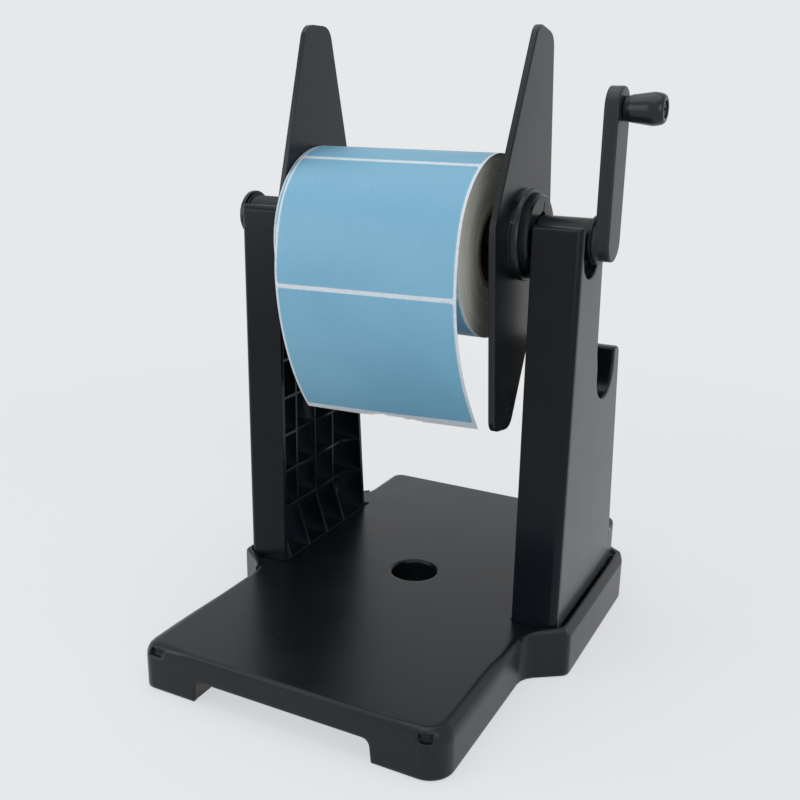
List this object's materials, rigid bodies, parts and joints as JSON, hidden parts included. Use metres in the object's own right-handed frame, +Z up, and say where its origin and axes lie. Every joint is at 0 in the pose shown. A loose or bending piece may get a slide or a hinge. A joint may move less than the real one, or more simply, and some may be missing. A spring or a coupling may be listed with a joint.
{
  "type": "manual label rewinder",
  "caption": "Benchtop hand-cranked label rewinder: tray base, ribbed uprights with open cradles, cranked spindle, sliding blade flanges and a hanging roll of blue labels.",
  "frame": {"origin": "centre of the whole span, on the surface that the rubber feet stand on", "axes": "+Z up, +X along the spindle towards the crank, +Y to the back, away from the hanging labels"},
  "size_m": [0.2294, 0.275, 0.3285],
  "materials": {
    "frame_plastic": "satin moulded",
    "foot_rubber": "matt",
    "screw_steel": "zinc plated",
    "spindle_plastic": "satin moulded",
    "flange_plastic": "satin moulded",
    "collar_plastic": "semi-gloss moulded",
    "core_board": "wound board",
    "label_face": "coated, pale blue",
    "label_liner": "siliconised liner, bluish white"
  },
  "bodies": {
    "stand": {"base_plate": "frame_plastic", "foot_front_left": "foot_rubber", "foot_front_right": "foot_rubber", "foot_rear_left": "foot_rubber", "foot_rear_right": "foot_rubber", "left_upright": "frame_plastic", "right_upright": "frame_plastic", "left_upright_screw_front": "screw_steel", "left_upright_screw_rear": "screw_steel", "right_upright_screw_front": "screw_steel", "right_upright_screw_rear": "screw_steel"},
    "bushes": {"left_bush": "collar_plastic", "right_bush": "collar_plastic"},
    "spindle": {"spindle_bar": "spindle_plastic", "spindle_end_cap": "spindle_plastic", "crank_arm": "spindle_plastic", "knob_pin": "screw_steel"},
    "left_flange": {"left_flange": "flange_plastic", "left_hub_collar": "collar_plastic"},
    "right_flange": {"right_flange": "flange_plastic", "right_hub_collar": "collar_plastic"},
    "crank_knob": {"crank_knob": "spindle_plastic"},
    "roll": {"label_core": "core_board", "label_roll": "label_face", "label_tail": "label_liner"}
  },
  "joints": [
    {"name": "spindle_lift", "type": "slide", "parent": "stand", "child": "bushes", "axis": [0, 0, 1], "range_m": [0, 0.04]},
    {"name": "spindle_turn", "type": "hinge", "parent": "bushes", "child": "spindle", "pos_m": [-0.01125, -0.01, 0.2295], "axis": [1, 0, 0], "continuous": true},
    {"name": "knob_spin", "type": "hinge", "parent": "spindle", "child": "crank_knob", "pos_m": [0.10475, -0.01, 0.2903], "axis": [1, 0, 0], "continuous": true},
    {"name": "left_flange_slide", "type": "slide", "parent": "spindle", "child": "left_flange", "axis": [1, 0, 0], "range_m": [-0.003, 0]},
    {"name": "right_flange_slide", "type": "slide", "parent": "spindle", "child": "right_flange", "axis": [1, 0, 0], "range_m": [-0.0115, 0.0015]},
    {"name": "roll_turn", "type": "hinge", "parent": "bushes", "child": "roll", "pos_m": [-0.01625, -0.01, 0.22219], "axis": [1, 0, 0], "continuous": true}
  ]
}
